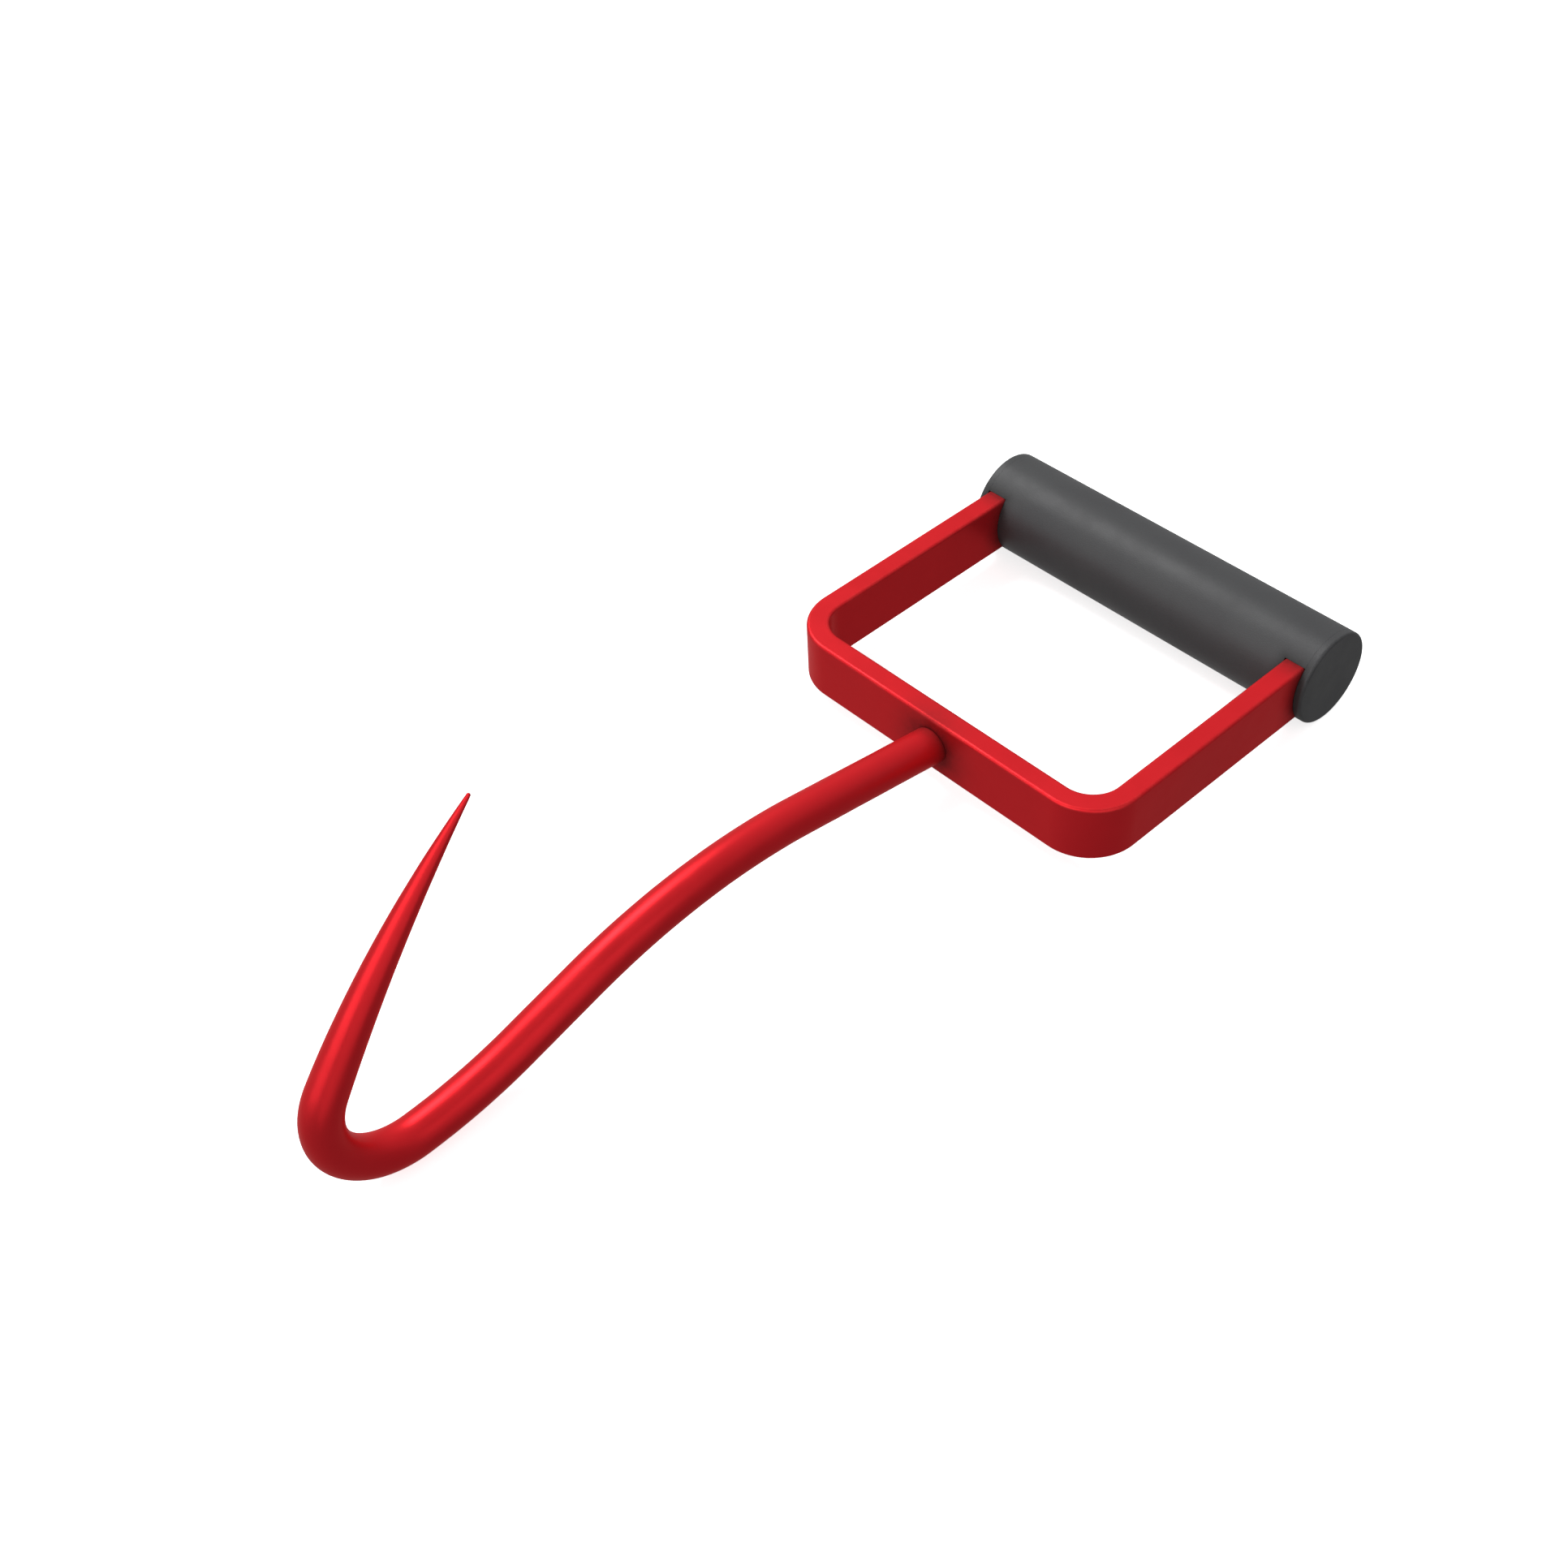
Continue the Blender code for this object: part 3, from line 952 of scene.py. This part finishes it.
@dataclass
class RivetWasher:
    """The round washer under the peened head, with eased rims."""

    ease: float = 0.25 * MM
    ease_steps: int = 4
    sink: float = 0.05 * MM
    lift: float = 0.1 * MM
    bore_radius: float = 4.05 * MM
    sides: int = 64

    def build(self, handle: HandleFrame, material: bpy.types.Material) -> bpy.types.Object:
        """Builds and dresses the washer.

        Args:
            handle: The frame that it lies on.
            material: Its enamel.

        Returns:
            The piece.
        """
        low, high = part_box("rivet_washer")
        centre = Vector((0.0, 0.0, (low.z + high.z) / 2))
        outer = (high.x - low.x) / 2
        bottom = handle.crossbar_inner - self.sink
        top = high.y + self.lift
        profile = [(bottom, outer, 0.0)]
        for turn in arc(0.0, math.pi / 2, self.ease_steps):
            profile.append((top - self.ease * (1.0 - math.sin(turn)),
                            outer - self.ease * (1.0 - math.cos(turn)), 1.0))
        profile += [(top, self.bore_radius, 0.0), (bottom, self.bore_radius, 0.0)]
        skin = Skin("washer")
        for y, radius, mark in profile:
            ring = [Vector((point.y, y, point.z)) for point in turned_ring(centre, 0.0, radius, self.sides)]
            skin.add(ring, mark)
        piece = skin.build(hollow=True)
        rest = handle.crossbar_inner
        # Painted shade, darker towards the washer's bottom where it lies on the crossbar.
        paint(piece, CREASE_LAYER, lambda point: fade(point.y - rest, high.y - low.y))
        dress(piece, material, Slot.RED_PAINT, "rivet_washer")
        return piece


@dataclass
class Grip:
    """The moulded sleeve, notched for the arms, and its two end caps."""

    bore_radius: float = 6.3 * MM
    rim_radius: float = 1.0 * MM
    rim_steps: int = 7
    wall_steps: int = 3
    wall_support: float = 0.2 * MM
    face_support: float = 0.3 * MM
    face_rings: tuple[float, ...] = (0.75, 0.5, 0.25, 0.05)
    sides: int = 160
    seat: float = 0.1 * MM
    seam: float = 0.04 * MM
    # Reach of the painted shade on the grip beside the arms.
    seat_shade: float = 5.0 * MM
    ring_step: float = 3.0 * MM
    fine_ring_step: float = 0.7 * MM
    fine_reach: float = 16.0 * MM

    def __post_init__(self) -> None:
        """Reads the grip's outer sizes from its nodes."""
        self.low, self.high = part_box("grip_sleeve")
        self.centre = (self.low + self.high) / 2
        self.radius = (self.high.z - self.low.z) / 2
        self.half_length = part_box("grip_cap_right")[1].x
        self.joint = self.high.x + GAP / 2

    def surface_distance(self, point: Vector) -> float:
        """Measures how far a point stands off the grip's round surface, or 0 inside it."""
        return max(0.0, math.hypot(point.y - self.centre.y, point.z - self.centre.z) - self.radius)

    def mouth(self, handle: HandleFrame) -> float:
        """Gives Y where the arms' upper edges go into the grip."""
        half_up = (handle.high.z - handle.low.z) / 2
        return self.centre.y - math.sqrt(self.radius ** 2 - half_up ** 2)

    def shade_arm_mouths(self, piece: bpy.types.Object, handle: HandleFrame) -> None:
        """Paints the crease layer of a piece round the arms' mouths, where it carries painted shade."""
        mouth = self.mouth(handle)
        paint(piece, CREASE_LAYER, lambda point: fade(handle.arm_distance(point, mouth), self.seat_shade))

    def ring_places(self, reach: float) -> list[float]:
        """Lays out the sleeve's rings, closer together by the arms.

        Args:
            reach: Distance from the middle to either end of the sleeve.

        Returns:
            Their places along X.
        """
        inner = reach - self.fine_reach
        fine = round(self.fine_reach / self.fine_ring_step)
        coarse = round(2 * inner / self.ring_step)
        return (list(arc(-reach, -inner, fine))[:-1] + list(arc(-inner, inner, coarse))
                + list(arc(inner, reach, fine))[1:])

    def build_sleeve(self, handle: HandleFrame, material: bpy.types.Material) -> bpy.types.Object:
        """Builds and dresses the sleeve with its two notches.

        Args:
            handle: The frame whose arms it takes.
            material: Its plastic.

        Returns:
            The piece.
        """
        skin = Skin("grip_tube")
        reach = self.joint - self.seam / 2
        for along in self.ring_places(reach):
            skin.add(turned_ring(self.centre, along, self.radius, self.sides))
        for along in (reach, -reach):
            skin.add(turned_ring(self.centre, along, self.bore_radius, self.sides))
        piece = skin.build(hollow=True)
        half_up = (handle.high.z - handle.low.z) / 2 + self.seat
        for side in Side:
            near = handle.high.x - handle.bar_thickness - self.seat
            far = self.joint + self.radius
            low = Vector((near, self.centre.y - 2 * self.radius, self.centre.z - half_up))
            high = Vector((far, handle.high.y + self.seat, self.centre.z + half_up))
            self._cut(piece, low, high, side)
        self.shade_arm_mouths(piece, handle)
        dress(piece, material, Slot.GRIP_PLASTIC, "grip_sleeve")
        return piece

    @staticmethod
    def _cut(piece: bpy.types.Object, low: Vector, high: Vector, side: Side) -> None:
        """Cuts a box out of a piece and applies the cut.

        Args:
            piece: The piece.
            low: The box's lowest corner, as on the right.
            high: Its highest corner.
            side: Which end of the grip.
        """
        skin = Skin("notch")
        for z in (low.z, high.z):
            skin.add([Vector((x * side.value, y, z)) for x, y in
                      ((low.x, low.y), (high.x, low.y), (high.x, high.y), (low.x, high.y))])
        cutter = skin.build()
        modifier = piece.modifiers.new("notch", "BOOLEAN")
        modifier.solver = "EXACT"
        modifier.object = cutter
        evaluated = piece.evaluated_get(bpy.context.evaluated_depsgraph_get())
        cut = bpy.data.meshes.new_from_object(evaluated)
        piece.modifiers.clear()
        piece.data = cut
        bpy.data.objects.remove(cutter)
        cut.shade_smooth()
        cut.set_sharp_from_angle(angle=SHARP_ANGLE)

    def build_cap(self, side: Side, handle: HandleFrame,
                  material: bpy.types.Material) -> bpy.types.Object:
        """Builds and dresses one end cap.

        Args:
            side: Which end of the grip.
            handle: The frame whose arm it covers.
            material: Its plastic.

        Returns:
            The piece.
        """
        name = "cap_" + side.name.lower()
        skin = Skin(name)
        inner = self.joint + self.seam / 2
        flat = self.radius - self.rim_radius
        shoulder = self.half_length - self.rim_radius
        profile = [(inner, flat, 0.0)]
        profile += [(along, self.radius, 0.0)
                    for along in arc(inner, shoulder - self.wall_support, self.wall_steps)]
        for turn in arc(0.0, math.pi / 2, self.rim_steps):
            profile.append((shoulder + self.rim_radius * math.sin(turn),
                            flat + self.rim_radius * math.cos(turn), 1.0))
        for radius in (flat - self.face_support, *(flat * share for share in self.face_rings)):
            profile.append((self.half_length, radius, 0.0))
        for along, radius, mark in profile:
            skin.add(turned_ring(self.centre, along * side.value, radius, self.sides), mark)
        piece = skin.build()
        self.shade_arm_mouths(piece, handle)
        dress(piece, material, Slot.GRIP_PLASTIC, "grip_" + name)
        return piece


# Studio -------------------------------------------------------------------------------------------


@dataclass
class Softbox:
    """A square area light that looks at the tool."""

    name: str
    direction: tuple[float, float, float]
    distance: float
    size: float
    power: float
    sheen_only: bool = False

    def build(self, target: Vector) -> bpy.types.Object:
        """Adds the light.

        Args:
            target: The point that it looks at.

        Returns:
            The light.
        """
        lamp = bpy.data.lights.new(self.name, "AREA")
        lamp.shape = "SQUARE"
        lamp.size = self.size
        lamp.energy = self.power
        made = add_object(self.name, lamp)
        toward = Vector(self.direction).normalized()
        made.location = target + toward * self.distance
        made.rotation_mode = "QUATERNION"
        made.rotation_quaternion = (-toward).to_track_quat("-Z", "Y")
        made.visible_diffuse = not self.sheen_only
        return made


@dataclass
class Camera:
    """The camera, placed by its bearing, height, tilt and distance from its aim point."""

    azimuth: float = 49.34
    elevation: float = 44.59
    roll: float = -3.395
    distance: float = 0.632
    aim: tuple[float, float, float] = (-25.89 * MM, 12.53 * MM, 7.70 * MM)
    lens: float = 47.38
    sensor: float = 36.0
    near: float = 0.01

    def build(self) -> bpy.types.Object:
        """Adds the camera and makes it the scene's own.

        Returns:
            The camera.
        """
        data = bpy.data.cameras.new("camera")
        data.lens = self.lens
        data.sensor_width = self.sensor
        data.clip_start = self.near
        made = add_object("camera", data)
        bearing, height, tilt = (math.radians(value) for value in (self.azimuth, self.elevation, self.roll))
        back = Vector((math.sin(bearing) * math.cos(height), -math.cos(bearing) * math.cos(height),
                       math.sin(height)))
        right = Vector((math.cos(bearing), math.sin(bearing), 0.0))
        up = back.cross(right)
        tilted_right = right * math.cos(tilt) + up * math.sin(tilt)
        tilted_up = up * math.cos(tilt) - right * math.sin(tilt)
        turn = Matrix((tilted_right, tilted_up, back)).transposed()
        made.matrix_world = Matrix.Translation(Vector(self.aim) + back * self.distance) @ turn.to_4x4()
        bpy.context.scene.camera = made
        return made


@dataclass
class Studio:
    """The pale floor, the sky light and the softboxes."""

    backdrop: float = 1.0
    floor_size: float = 12.0
    floor_squares: int = 8
    floor_roughness: float = 0.9
    floor_specular: float = 0.1
    floor_color: Color = (0.86, 0.86, 0.86)
    floor_glow: float = 0.75
    ground: float = 0.40
    dome: float = 0.60
    dome_rise: tuple[float, float] = (0.15, 0.50)
    side_fall: float = 0.16
    softboxes: tuple[Softbox, ...] = (
        Softbox("key_softbox", (-0.58, 0.02, 0.82), 2.4, 1.2, 34.0),
        Softbox("front_softbox", (-0.05, -0.86, 0.50), 2.4, 2.2, 30.0, sheen_only=True),
        Softbox("face_softbox", (0.86, -0.42, 0.27), 2.4, 3.2, 26.0, sheen_only=True),
    )

    def build(self, target: Vector) -> None:
        """Builds the whole studio round a target point."""
        self.build_floor()
        self.build_sky()
        for softbox in self.softboxes:
            softbox.build(target)
        bpy.context.scene.view_settings.view_transform = "Standard"
        log.info("studio has %d softboxes", len(self.softboxes))

    def build_floor(self) -> bpy.types.Object:
        """Lays the floor, which the tool's own bounce light leaves out.

        Returns:
            The floor.
        """
        skin = bmesh.new()
        bmesh.ops.create_grid(skin, x_segments=self.floor_squares, y_segments=self.floor_squares,
                              size=self.floor_size / 2)
        mesh = bpy.data.meshes.new("floor")
        skin.to_mesh(mesh)
        skin.free()
        floor = add_object("floor", mesh)
        floor.visible_diffuse = False
        floor.visible_glossy = False
        mesh.materials.append(self.floor_material())
        return floor

    def floor_material(self) -> bpy.types.Material:
        """Makes the floor's matt paper, which glows a little to keep shadows pale and is clear from below.

        Returns:
            The material.
        """
        made = bpy.data.materials.new("pale_paper")
        made.use_nodes = True
        shader = made.node_tree.nodes["Principled BSDF"]
        shader.inputs["Base Color"].default_value = (*self.floor_color, 1.0)
        shader.inputs["Roughness"].default_value = self.floor_roughness
        shader.inputs["Specular IOR Level"].default_value = self.floor_specular
        shader.inputs["Emission Color"].default_value = (1.0, 1.0, 1.0, 1.0)
        shader.inputs["Emission Strength"].default_value = self.floor_glow
        tree = made.node_tree
        facing = tree.nodes.new("ShaderNodeNewGeometry")
        clear = tree.nodes.new("ShaderNodeBsdfTransparent")
        either = tree.nodes.new("ShaderNodeMixShader")
        tree.links.new(facing.outputs["Backfacing"], either.inputs[0])
        tree.links.new(shader.outputs["BSDF"], either.inputs[1])
        tree.links.new(clear.outputs["BSDF"], either.inputs[2])
        tree.links.new(either.outputs["Shader"], tree.nodes["Material Output"].inputs["Surface"])
        return made

    def build_sky(self) -> None:
        """Makes the sky: a pale backdrop, and light that is even, brighter above and toward one side."""
        world = bpy.data.worlds.new("sky")
        bpy.context.scene.world = world
        world.use_nodes = True
        tree = world.node_tree
        background = tree.nodes["Background"]
        background.inputs["Color"].default_value = (1.0, 1.0, 1.0, 1.0)
        rays = tree.nodes.new("ShaderNodeLightPath")
        seen = tree.nodes.new("ShaderNodeMix")
        seen.inputs["B"].default_value = self.backdrop
        place = tree.nodes.new("ShaderNodeTexCoord")
        split = tree.nodes.new("ShaderNodeSeparateXYZ")
        rise = tree.nodes.new("ShaderNodeMapRange")
        rise.interpolation_type = "SMOOTHSTEP"
        for name, value in (("From Min", self.dome_rise[0]), ("From Max", self.dome_rise[1]),
                            ("To Min", self.ground), ("To Max", self.dome)):
            rise.inputs[name].default_value = value
        level = tree.nodes.new("ShaderNodeMath")
        level.operation = "MULTIPLY_ADD"
        level.inputs[1].default_value = -self.side_fall
        tree.links.new(place.outputs["Generated"], split.inputs["Vector"])
        tree.links.new(split.outputs["Z"], rise.inputs["Value"])
        tree.links.new(split.outputs["X"], level.inputs[0])
        tree.links.new(rise.outputs["Result"], level.inputs[2])
        tree.links.new(rays.outputs["Is Camera Ray"], seen.inputs["Factor"])
        tree.links.new(level.outputs["Value"], seen.inputs["A"])
        tree.links.new(seen.outputs["Result"], background.inputs["Strength"])


def main() -> None:
    """Builds the finishes, the tool and the studio, in that order."""
    logging.basicConfig(level=logging.INFO, format="%(name)s: %(message)s")
    Camera().build()
    effects = Effects.build()
    enamel = RED_ENAMEL.material(effects)
    plastic = MOULDED_GREY.material(effects)
    zinc = BRIGHT_ZINC.material(effects)

    handle, hook, grip = HandleFrame(), Hook(), Grip()
    handle.build(grip, hook.rod_radius, enamel)
    hook.build(handle, enamel)
    RivetWasher().build(handle, enamel)
    grip.build_sleeve(handle, plastic)
    for side in Side:
        grip.build_cap(side, handle, plastic)
        carry("core_screw_" + side.name.lower(), zinc)
    carry("grip_core", zinc)

    low, high = CAD_BOX
    Studio().build((low + high) / 2)


if __name__ == "__main__":
    main()
